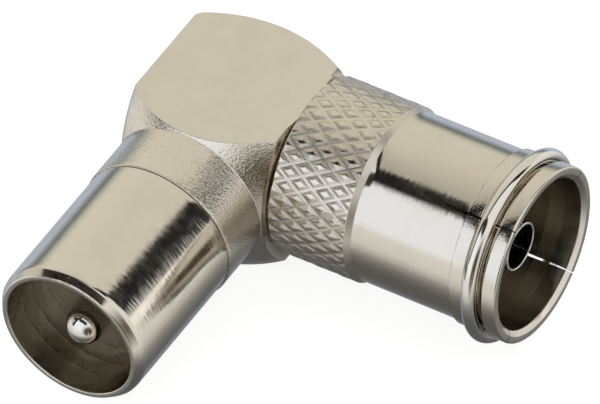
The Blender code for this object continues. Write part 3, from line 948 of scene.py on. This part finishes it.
@dataclass
class Knurl:
    """The diamond knurl: flat-topped pyramids between two crossed sets of spiral grooves."""

    starts: int = 36
    rows: int = 6
    radius: float = 5.41
    depth: float = 0.06
    start: float = 5.20
    end: float = 10.2
    merge_reach: float = 0.004
    profile: tuple[tuple[float, float], ...] = (
        (0.0, 0.0), (0.05, 0.01), (0.08, 0.05), (0.12, 0.17), (0.18, 0.42), (0.24, 0.66), (0.30, 0.86),
        (0.35, 0.96), (0.40, 1.0), (0.5, 1.0))

    def stations(self) -> list[tuple[float, float]]:
        """Return the whole of the profile across one diamond, from groove to groove."""
        rising = list(self.profile)
        falling = [(1.0 - place, height) for place, height in reversed(rising[:-1])]
        return rising + falling

    def diamond(self) -> bpy.types.Object:
        """Return one diamond of the pattern about local Z, centred on station 0 and angle 0."""
        half_turn = math.pi / self.starts
        pitch = (self.end - self.start) / self.rows
        stations = self.stations()
        bm = bmesh.new()
        grid = []
        for first, first_height in stations:
            line = []
            for second, second_height in stations:
                height = min(first_height, second_height)
                radius = self.radius - self.depth * (1.0 - height)
                along = (first + second - 1.0) * pitch
                line += ring_at(bm, along, radius, [(first - second) * half_turn])
            grid.append(line)
        for row, following in zip(grid, grid[1:]):
            for number in range(len(row) - 1):
                bm.faces.new((row[number], row[number + 1], following[number + 1], following[number]))
        return add_object("knurl_diamond", bm)

    def tree(self) -> bpy.types.NodeTree:
        """Return the Geometry Nodes tree that repeats one diamond round and along the collar."""
        tree = bpy.data.node_groups.new("knurl_pattern", "GeometryNodeTree")
        kinds = {"Geometry": "Geometry", "Starts": "Int", "Rows": "Int", "Start": "Float", "End": "Float",
                 "Material": "Material"}
        for name, kind in kinds.items():
            tree.interface.new_socket(name, in_out="INPUT", socket_type=f"NodeSocket{kind}")
        tree.interface.new_socket("Geometry", in_out="OUTPUT", socket_type="NodeSocketGeometry")
        bench = Bench(tree)
        calc = bench.calc
        given = bench.add("NodeGroupInput").outputs
        starts, rows, start, end = (given[name] for name in ("Starts", "Rows", "Start", "End"))

        index = bench.add("GeometryNodeInputIndex").outputs["Index"]
        row = calc("FLOOR", calc("DIVIDE", calc("ADD", index, 0.5), starts))
        column = calc("SUBTRACT", index, calc("MULTIPLY", row, starts))
        odd = calc("MODULO", calc("ADD", row, 1.0), 2.0)
        half_turns = calc("ADD", calc("MULTIPLY", column, 2.0), odd)
        turn = calc("MULTIPLY", half_turns, calc("DIVIDE", math.pi, starts))
        pitch = calc("DIVIDE", calc("SUBTRACT", end, start), rows)
        along = calc("ADD", start, calc("MULTIPLY", row, pitch))
        count = calc("MULTIPLY", starts, calc("ADD", rows, 1.0))

        points = bench.add("GeometryNodePoints", {"Count": count, "Position": bench.place_node(along)})
        turned = bench.add("FunctionNodeEulerToRotation", {"Euler": bench.place_node(turn)})
        spread = bench.add("GeometryNodeInstanceOnPoints", {
            "Points": points.outputs["Points"], "Instance": given["Geometry"],
            "Rotation": turned.outputs["Rotation"]})
        real = bench.add("GeometryNodeRealizeInstances", {"Geometry": spread.outputs["Instances"]})

        position = bench.add("GeometryNodeInputPosition").outputs["Position"]
        parts = bench.add("ShaderNodeSeparateXYZ", {"Vector": position}).outputs
        past = calc("MAXIMUM", calc("LESS_THAN", parts["Z"], start), calc("GREATER_THAN", parts["Z"], end))
        trim = bench.add("GeometryNodeDeleteGeometry", {
            "Geometry": real.outputs["Geometry"], "Selection": calc("GREATER_THAN", past, 0.75)},
            domain="FACE")
        held = calc("MINIMUM", calc("MAXIMUM", parts["Z"], start), end)
        even = bench.add("GeometryNodeSetPosition", {
            "Geometry": trim.outputs["Geometry"], "Position": bench.place_node(held, parts["X"], parts["Y"])})
        merge = bench.add("GeometryNodeMergeByDistance", {
            "Geometry": even.outputs["Geometry"], "Distance": self.merge_reach})
        dress = bench.add("GeometryNodeSetMaterial", {
            "Geometry": merge.outputs["Geometry"], "Material": given["Material"]})
        bench.add("NodeGroupOutput", {"Geometry": dress.outputs["Geometry"]})
        return tree

    def mesh(self) -> BMesh:
        """Return the knurl as a plain open band, in millimetres in the socket's frame."""
        seed = self.diamond()
        tree = self.tree()
        modifier = seed.modifiers.new("knurl", "NODES")
        modifier.node_group = tree
        wanted = {"Starts": self.starts, "Rows": self.rows, "Start": self.start, "End": self.end,
                  "Material": SOCKET_PLATE.material()}
        for item in tree.interface.items_tree:
            if item.in_out == "INPUT" and item.name in wanted:
                modifier[item.identifier] = wanted[item.name]
        band = evaluated_mesh(seed)
        seed.modifiers.remove(modifier)
        bpy.data.objects.remove(seed)
        bm = bmesh.new()
        bm.from_mesh(band)
        return bm


@dataclass
class SocketLeg:
    """The socket's sleeve with its knurled collar, the ring in its groove, its contact and its bush."""

    finger_steps: int = 72
    knurl: Knurl = field(default_factory=Knurl)
    collar_face: float = 5.09
    barrel_start: float = 10.61
    barrel: float = 5.21
    band_start: float = 17.17
    band: float = 5.38
    groove_start: float = 18.06
    groove_floor: float = 5.02
    lip_start: float = 19.36
    lip: float = 5.41
    mouth: float = 20.25
    lip_bore: float = 4.65
    lip_bore_length: float = 1.1
    bore: float = 4.8
    depth: float = 11.9
    spigot: float = 3.73
    spigot_end: float = 2.68
    spigot_bore: float = 2.7
    saw_turns: tuple[float, ...] = (36.6, 122.7, 212.7, 308.5)
    saw_width: float = 0.26
    saw_start: float = 13.95
    saw_mouth: float = 0.07
    ring_wire: float = 0.44
    ring_radius: float = 5.50
    ring_station: float = 18.60
    wire_segments: int = 28
    contact_radius: float = 1.52
    contact_bore: float = 1.36
    contact_depth: float = 7.5
    contact_recess: float = 1.44
    contact_shank: float = 0.95
    contact_saw_turns: tuple[float, ...] = (36.6, 216.6)
    contact_saw_width: float = 0.18
    contact_saw_length: float = 4.5
    contact_saw_mouth: float = 0.06
    contact_steps: int = 40
    tail: float = 0.4
    tail_start: float = -0.95
    flange: float = 1.3

    @property
    def knurl_root(self) -> float:
        """Radius of the plain band that the knurl replaces."""
        return self.knurl.radius - self.knurl.depth - 0.02

    def sleeve_outline(self) -> Outline:
        """Return the sleeve's closed outline, with a plain band where the knurl goes."""
        floor = self.mouth - self.depth
        lip_back = self.mouth - 0.18 - self.lip_bore_length
        knurl = self.knurl
        root = self.knurl_root
        corners = [Corner(self.spigot_end, self.spigot_bore), Corner(self.spigot_end, self.spigot, 0.1),
                   Corner(self.collar_face, self.spigot), Corner(self.collar_face, root - 0.03, 0.03),
                   Corner(knurl.start - 0.01, root + 0.05), Corner(knurl.start, root),
                   Corner(knurl.end, root), Corner(knurl.end + 0.005, knurl.radius - 0.008),
                   Corner(knurl.end + 0.02, knurl.radius - 0.01),
                   Corner(knurl.end + 0.04, knurl.radius - 0.02),
                   Corner(self.barrel_start - 0.03, self.barrel + 0.015),
                   Corner(self.barrel_start, self.barrel), Corner(self.barrel_start + 0.4, self.barrel),
                   Corner(self.band_start - 0.3, self.barrel), Corner(self.band_start, self.barrel, 0.04),
                   Corner(self.band_start + 0.02, self.band, 0.02), Corner(self.band_start + 0.08, self.band),
                   Corner(self.groove_start, self.band, 0.09),
                   Corner(self.groove_start + 0.02, self.groove_floor, 0.12),
                   Corner(self.lip_start - 0.02, self.groove_floor, 0.12),
                   Corner(self.lip_start, self.lip, 0.07), Corner(self.mouth, self.lip, 0.12),
                   Corner(self.mouth, self.lip_bore + 0.3, 0.05),
                   Corner(self.mouth - 0.2, self.lip_bore, 0.06), Corner(lip_back, self.lip_bore, 0.3),
                   Corner(lip_back - self.lip_bore_length, self.bore, 0.3), Corner(floor, self.bore, 0.1),
                   Corner(floor, self.spigot_bore, 0.05)]
        return rounded(corners, closed=True)

    def sleeve(self) -> bpy.types.Object:
        """Return the sleeve with its knurl stitched in and its slits sawn."""
        saw = Saw(tuple(map(math.radians, self.saw_turns)), self.saw_width, self.saw_start, self.saw_mouth,
                  self.mouth)
        bm = sawn_tube(self.sleeve_outline(), saw, self.finger_steps)
        bmesh.ops.remove_doubles(bm, verts=bm.verts, dist=SAME_PLACE)
        root = self.knurl_root
        under = [face for face in bm.faces if all(self.at_root(vert) for vert in face.verts)]
        bmesh.ops.delete(bm, geom=under, context="FACES")
        merge_in(bm, self.knurl.mesh())
        open_edges = [edge for edge in bm.edges if len(edge.link_faces) == 1]
        loose = {vert for edge in open_edges for vert in edge.verts}
        for station in (self.knurl.start, self.knurl.end):
            here = [vert for vert in loose if abs(vert.co.z - station) < 0.005]
            inner = [vert for vert in here if abs(vert.co.xy.length - root) < 0.004]
            outer = [vert for vert in here if vert not in inner]
            stitch(bm, sorted(inner, key=turn_of), sorted(outer, key=turn_of))
        return finished("socket_sleeve", bm, Leg.SOCKET.matrix, "socket_shell", Slot.TURNED, SOCKET_PLATE,
                        self.coat)

    def coat(self, place: Vector, normal: Vector) -> Coat:
        """Return a face's coat: the knurl's flanks are grainy, the band and lip a little, the bore dull."""
        away = place.xy.length
        if away < self.bore + 0.01:
            return Coat(dull=0.3)
        if away > self.knurl_root - 0.05 and self.knurl.start < place.z < self.knurl.end:
            if away > self.knurl.radius - 0.12 * self.knurl.depth:
                return Coat(grainy=0.1)
            if away < self.knurl.radius - 0.9 * self.knurl.depth:
                return Coat(grainy=0.3, dull=0.5)
            return Coat(grainy=1.0, dull=0.8, stain_and_shade=0.3)
        if away > self.barrel and self.knurl.end < place.z < self.barrel_start:
            return Coat(dull=0.6)
        # A thin dark line at the band's start edge: painted contact shadow, with some dirt.
        if self.band_start < place.z < self.band_start + 0.08:
            return Coat(grainy=0.35, stain_and_shade=0.6)
        if self.band_start < place.z < self.groove_start or place.z > self.lip_start:
            return Coat(grainy=0.35)
        return Coat()

    def at_root(self, vert: bmesh.types.BMVert) -> bool:
        """Return whether a vertex lies on the plain band under the knurl."""
        along = self.knurl.start - 0.001 < vert.co.z < self.knurl.end + 0.001
        return along and abs(vert.co.xy.length - self.knurl_root) < 0.001

    def ring(self) -> bpy.types.Object:
        """Return the round ring that lies in the groove."""
        turns = [math.tau * number / self.wire_segments for number in range(self.wire_segments)]
        outline = [(self.ring_station + self.ring_wire * math.sin(turn),
                    self.ring_radius + self.ring_wire * math.cos(turn)) for turn in turns]
        bm = spin(outline, TUBE_FACETS, closed=True)
        return finished("bead_ring", bm, Leg.SOCKET.matrix, "spring_ring", Slot.BRIGHT, BRIGHT)

    def bush(self) -> bpy.types.Object:
        """Return the bush that holds the contact."""
        bm = spin(bush_outline(self.mouth - self.depth, self.bore - 0.05, self.spigot_bore - 0.05,
                               self.contact_shank + 0.03, self.spigot_end, self.flange), CORE_FACETS,
                  closed=True)
        return finished("socket_bush", bm, Leg.SOCKET.matrix, "socket_insulator", Slot.PLASTIC, NATURAL)

    def contact(self) -> bpy.types.Object:
        """Return the contact tube, sawn once right across."""
        shoulder = self.mouth - self.depth + self.flange + 0.05
        mouth = self.mouth - self.contact_recess
        floor = mouth - self.contact_depth
        corners = [Corner(shoulder, self.contact_shank - 0.4), Corner(shoulder, self.contact_radius, 0.08),
                   Corner(mouth, self.contact_radius, 0.09), Corner(mouth, self.contact_bore, 0.05),
                   Corner(floor, self.contact_bore, 0.1), Corner(floor, self.contact_shank - 0.4)]
        saw = Saw(tuple(map(math.radians, self.contact_saw_turns)), self.contact_saw_width,
                  mouth - self.contact_saw_length, self.contact_saw_mouth, mouth)
        bm = sawn_tube(rounded(corners, closed=True), saw, self.contact_steps)
        tail = [Corner(self.tail_start, 0.0), Corner(self.tail_start, self.tail, 0.05),
                Corner(self.spigot_end, self.tail), Corner(self.spigot_end, self.contact_shank, 0.08),
                Corner(floor - 0.3, self.contact_shank, 0.05), Corner(floor - 0.3, 0.0)]
        merge_in(bm, spin(rounded(tail, closed=False), CORE_FACETS, closed=False))
        return finished("contact_tube", bm, Leg.SOCKET.matrix, "socket_contact", Slot.BRIGHT, BRIGHT)


@dataclass(frozen=True)
class Patch:
    """A patch of the studio's dome.

    Attributes:
        turn: First and last angle along the studio's long axis, in degrees; 90 is overhead.
        lean: First and last angle across it, in degrees; positive leans to the back.
        light: Its light, where 1 is white.
        soft: Width of its soft edge, in degrees.
    """

    turn: tuple[float, float]
    lean: tuple[float, float]
    light: Colour
    soft: float = 1.5

    def share(self, turn: np.ndarray, lean: np.ndarray) -> np.ndarray:
        """Return how much of the patch shows in each direction, from 0 to 1, by its turn and lean."""
        inside = np.minimum.reduce([turn - self.turn[0], self.turn[1] - turn, lean - self.lean[0],
                                    self.lean[1] - lean])
        return np.clip(inside / self.soft, 0.0, 1.0)


@dataclass(frozen=True)
class Blot:
    """A dark round-ended patch of the dome, such as what stands round the lens.

    Attributes:
        start: Turn and lean of one end, in degrees.
        end: Turn and lean of the other end.
        radius: Half its width, in degrees.
        soft: Width of its soft edge, in degrees.
        light: Its light.
    """

    start: tuple[float, float]
    end: tuple[float, float]
    radius: float
    soft: float = 2.5
    light: Colour = (0.05, 0.045, 0.04)

    def share(self, turn: np.ndarray, lean: np.ndarray) -> np.ndarray:
        """Return how much of the patch shows in each direction, from 0 to 1, by its turn and lean."""
        narrow = np.cos(np.radians(lean))
        way = np.array([self.end[0] - self.start[0], self.end[1] - self.start[1]])
        across = np.stack([turn - self.start[0], lean - self.start[1]], axis=1)
        along = np.clip(across @ way / max(1e-9, float(way @ way)), 0.0, 1.0)
        off = across - along[:, None] * way
        away = np.hypot(off[:, 0] * narrow, off[:, 1])
        return np.clip((self.radius - away) / self.soft, 0.0, 1.0)


@dataclass(frozen=True)
class Dome:
    """What the metal sees round it: a ball whose light depends only on the direction.

    Attributes:
        heading: Azimuth of the studio's long axis, in degrees.
        radius: Radius of the ball, in metres.
        paper_and_shadow: Light of the white sheet by the angle above the horizon, in degrees; its fall
            towards the nadir is a painted shadow of the adapter.
        back: Light of the far sheet behind the adapter by the same angle; its fall towards the nadir is
            painted shadow too.
        back_half: Half the width of that far stretch, in degrees.
        canopy: The big warm sheet overhead.
        dimming: How bright its far half is, by lean.
        patches: What lies over it, in order.
    """

    heading: float = 43.8
    radius: float = 0.5
    # Below the horizon the light falls towards the nadir: a painted shadow of the adapter on the floor, as
    # the metal sees it.
    paper_and_shadow: tuple[tuple[float, float], ...] = (
        (-90.0, 0.13), (-75.0, 0.13), (-60.0, 0.14), (-52.0, 0.18), (-45.0, 0.26), (-38.0, 0.40),
        (-32.0, 0.64), (-28.0, 0.72), (-25.0, 0.85), (-19.0, 0.90), (-10.0, 0.94), (0.0, 1.0))
    # Its fall below -35 degrees is painted shadow as well.
    back: tuple[tuple[float, Colour], ...] = (
        (-70.0, (0.13, 0.13, 0.13)), (-50.0, (0.30, 0.33, 0.38)), (-35.0, (0.50, 0.56, 0.67)),
        (-27.0, (0.50, 0.56, 0.67)), (-15.0, (0.58, 0.66, 0.78)), (-8.0, (0.42, 0.48, 0.58)),
        (-3.0, (0.28, 0.32, 0.37)), (0.0, (0.19, 0.22, 0.24)), (3.0, (0.30, 0.32, 0.33)),
        (9.0, (0.62, 0.64, 0.56)), (14.0, (0.80, 0.80, 0.70)))
    back_half: float = 55.0
    canopy: Patch = Patch((5.0, 175.0), (5.0, 83.0), (0.87, 0.84, 0.76))
    dimming: tuple[tuple[float, float], ...] = (
        (6.0, 0.68), (9.0, 0.70), (20.0, 0.83), (30.0, 0.92), (44.0, 1.0), (55.0, 1.04))
    patches: tuple[Patch | Blot, ...] = (
        Patch((114.0, 186.0), (-54.0, 3.0), (1.14, 1.20, 1.34), 9.0),
        Patch((22.0, 122.0), (-58.0, -5.0), (1.02, 1.02, 1.04)),
        Blot((122.0, -12.5), (101.0, -41.0), 10.0),
        Blot((139.0, 9.0), (148.0, 16.0), 8.0),
        Patch((-91.0, 271.0), (-111.0, -56.0), (0.12, 0.10, 0.07), 16.0),
        Patch((-3.0, 12.0), (-13.0, -5.0), (1.30, 1.28, 1.24), 2.5),
        Patch((10.0, 40.0), (-9.0, -4.0), (0.02, 0.02, 0.02), 1.5),
        Patch((4.0, 176.0), (-6.0, 6.5), (0.02, 0.02, 0.02), 1.2))

    def light(self, ways: np.ndarray) -> np.ndarray:
        """Return the light that comes from each direction.

        Args:
            ways: The directions, one a row, of length 1.

        Returns:
            The colours, one a row, where 1 is white.
        """
        heading = math.radians(self.heading)
        along = ways @ np.array([math.cos(heading), math.sin(heading), 0.0])
        across = ways @ np.array([-math.sin(heading), math.cos(heading), 0.0])
        rise = np.degrees(np.arcsin(np.clip(ways[:, 2], -1.0, 1.0)))
        turn = np.degrees(np.arctan2(ways[:, 2], along))
        turn = np.where(turn < -90.0, turn + 360.0, turn)
        lean = np.degrees(np.arcsin(np.clip(across, -1.0, 1.0)))
        azimuth = np.degrees(np.arctan2(ways[:, 1], ways[:, 0]))
        off = np.abs((azimuth - self.heading - 90.0 + 180.0) % 360.0 - 180.0)

        # The sheet all round, with its painted shadow below the horizon.
        found = np.repeat(np.interp(rise, *zip(*self.paper_and_shadow))[:, None], 3, axis=1)
        far_half = np.interp(lean, *zip(*self.dimming))
        far_half = 1.0 + (far_half - 1.0) * np.clip((turn - 70.0) / 30.0, 0.0, 1.0)
        sheet = np.array(self.canopy.light) * far_half[:, None]
        found = blended(found, sheet, self.canopy.share(turn, lean))
        rises = [level for level, _ in self.back]
        # The far sheet behind, with its painted shadow towards the nadir.
        paper_and_shadow = np.stack([np.interp(rise, rises, [colour[channel] for _, colour in self.back])
                          for channel in range(3)], axis=1)
        stretch = np.clip((self.back_half - off) / 12.0, 0.0, 1.0) * np.clip((20.0 - rise) / 8.0, 0.0, 1.0)
        found = blended(found, paper_and_shadow, stretch)
        for patch in self.patches:
            found = blended(found, np.array(patch.light), patch.share(turn, lean))
        return found

    def build(self, centre: Vector) -> None:
        """Hang the dome round the middle of the adapter; the camera and the shadows don't see it."""
        bm = bmesh.new()
        bmesh.ops.create_icosphere(bm, subdivisions=7, radius=self.radius)
        ways = np.array([vert.co.normalized() for vert in bm.verts])
        bmesh.ops.translate(bm, vec=centre, verts=bm.verts)
        dome = add_object("studio_dome", bm)
        light = dome.data.attributes.new("light", "FLOAT_VECTOR", "POINT")
        light.data.foreach_set("vector", self.light(ways).astype(np.float32).ravel())
        dome.data.materials.append(self.material())
        dome.visible_camera = False
        dome.visible_diffuse = False
        dome.visible_shadow = False
        dome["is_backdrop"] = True

    @staticmethod
    def material() -> bpy.types.Material:
        """Return the dome's material, which reads its light from the mesh."""
        made, bench = empty_material("studio_dome_light")
        light = bench.add("ShaderNodeAttribute", attribute_name="light")
        glow = bench.add("ShaderNodeEmission", {"Color": light.outputs["Vector"]})
        bench.add("ShaderNodeOutputMaterial", {"Surface": glow.outputs["Emission"]})
        return made


def empty_material(name: str) -> tuple[bpy.types.Material, Bench]:
    """Return a material without nodes, and the helper that adds them."""
    made = bpy.data.materials.new(name)
    made.use_nodes = True
    made.node_tree.nodes.clear()
    return made, Bench(made.node_tree)


def blended(under: np.ndarray, over: np.ndarray, share: np.ndarray) -> np.ndarray:
    """Return colours laid over others, one a row, by the share of the upper ones that shows."""
    return under + (over - under) * share[:, None]


@dataclass
class Studio:
    """The floor, the dome that the metal reflects, the lamp and the world."""

    floor_size: float = 1.2
    floor_colour: Colour = (0.3, 0.3, 0.3)
    floor_white: float = 0.86
    ambient: float = 0.75
    rest_points: tuple[tuple[float, float, float], ...] = (
        (18.6, 0.0, -0.995), (0.0, -18.0, 0.2), (-4.4, -4.6, 0.0))
    lamp_size: float = 0.5
    lamp_power: float = 1.2
    lamp_place: tuple[float, float, float] = (-0.25, 0.30, 0.55)
    dome: Dome = field(default_factory=Dome)

    def floor_height(self, x: float, y: float) -> float:
        """Return the floor's height at a place: a plane through the ring, the plug's rim and a corner."""
        first, second, third = (Vector(point) * MM for point in self.rest_points)
        normal = (second - first).cross(third - first)
        return first.z - (normal.x * (x - first.x) + normal.y * (y - first.y)) / normal.z

    def floor(self) -> None:
        """Lay the pale floor; the metal and a view from below look through it to the dome, with its painted
        shadow.
        """
        half = self.floor_size / 2.0
        corners = [(-half, -half), (half, -half), (half, half), (-half, half)]
        mesh = bpy.data.meshes.new("floor")
        mesh.from_pydata([(x, y, self.floor_height(x, y)) for x, y in corners], [], [(0, 1, 2, 3)])
        made, bench = empty_material("pale_floor")
        paper_and_shadow = bench.add("ShaderNodeBsdfDiffuse", {"Color": (*self.floor_colour, 1.0)})
        glow = bench.add("ShaderNodeEmission", {"Strength": bench.backdrop_share(self.floor_white, 0.0)})
        both = bench.add("ShaderNodeAddShader", {0: paper_and_shadow.outputs["BSDF"], 1: glow.outputs["Emission"]})
        path = bench.add("ShaderNodeLightPath")
        side = bench.add("ShaderNodeNewGeometry")
        unseen = bench.calc("MAXIMUM", path.outputs["Is Glossy Ray"], side.outputs["Backfacing"])
        clear = bench.add("ShaderNodeBsdfTransparent")
        parted = bench.add("ShaderNodeMixShader", {
            0: unseen, 1: both.outputs["Shader"], 2: clear.outputs["BSDF"]})
        bench.add("ShaderNodeOutputMaterial", {"Surface": parted.outputs["Shader"]})
        mesh.materials.append(made)
        link_object("floor", mesh)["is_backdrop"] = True

    def world(self) -> None:
        """Make the world white to the camera and the metal, and a plain soft light to the rest."""
        world = bpy.data.worlds.new("plain_studio")
        bpy.context.scene.world = world
        world.use_nodes = True
        sky = world.node_tree.nodes["Background"]
        sky.inputs["Color"].default_value = (1.0, 1.0, 1.0, 1.0)
        strength = Bench(world.node_tree).backdrop_share(1.0, self.ambient)
        world.node_tree.links.new(strength, sky.inputs["Strength"])

    def lamp(self) -> None:
        """Add the soft lamp that gives the floor its faint shadow."""
        light = bpy.data.lights.new("softbox_lamp", "AREA")
        light.size = self.lamp_size
        light.energy = self.lamp_power
        lamp = link_object("softbox_lamp", light)
        lamp.location = self.lamp_place
        lamp.rotation_euler = (-lamp.location).to_track_quat("-Z", "Y").to_euler()
        lamp.visible_glossy = False

    def build(self, centre: Vector) -> None:
        """Set up the studio round the middle of the adapter."""
        self.floor()
        self.dome.build(centre)
        self.world()
        self.lamp()
        LOG.info("studio: %d patches on the dome", len(self.dome.patches))


def smooth(share: float) -> float:
    """Return a share held to 0..1 and eased at both ends."""
    held = max(0.0, min(1.0, share))
    return held * held * (3.0 - 2.0 * held)


@dataclass(frozen=True)
class Viewpoint:
    """The camera, at the photograph's angle.

    Attributes:
        place: Where the camera stands, in metres.
        right: Direction of the picture's right.
        up: Direction of the picture's top.
        lens: Focal length, in millimetres.
        sensor: Width of the sensor, in millimetres.
    """

    place: tuple[float, float, float] = (0.336230, -0.496514, 0.607959)
    right: tuple[float, float, float] = (0.85293, 0.52039, -0.04140)
    up: tuple[float, float, float] = (-0.34665, 0.62389, 0.70042)
    lens: float = 886.5
    sensor: float = 36.0

    def build(self) -> None:
        """Add the scene's camera."""
        data = bpy.data.cameras.new("camera")
        data.lens = self.lens
        data.sensor_width = self.sensor
        data.clip_start = 0.05
        data.clip_end = 5.0
        camera = link_object("camera", data)
        right = Vector(self.right)
        up = Vector(self.up)
        turned = Matrix((right, up, right.cross(up))).transposed()
        camera.matrix_world = Matrix.Translation(self.place) @ turned.to_4x4()
        bpy.context.scene.camera = camera


def clear_start_objects() -> None:
    """Remove whatever the file held before the frame was loaded."""
    kept = set(frame["nodes"].values()) | set(frame["bodies"].values())
    for other in [o for o in bpy.data.objects if o not in kept]:
        bpy.data.objects.remove(other)


def main() -> None:
    """Build the adapter's looks and the studio round it."""
    logging.basicConfig(level=logging.INFO, format="%(name)s %(message)s")
    clear_start_objects()
    cad_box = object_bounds()
    bpy.context.scene.view_settings.view_transform = "Standard"

    Casting().build()
    plug = PlugLeg()
    plug.tube()
    plug.bush()
    plug.pin()
    socket = SocketLeg()
    socket.sleeve()
    socket.ring()
    socket.bush()
    socket.contact()

    Studio().build((cad_box[0] + cad_box[1]) / 2.0)
    Viewpoint().build()


if __name__ == "__main__":
    main()
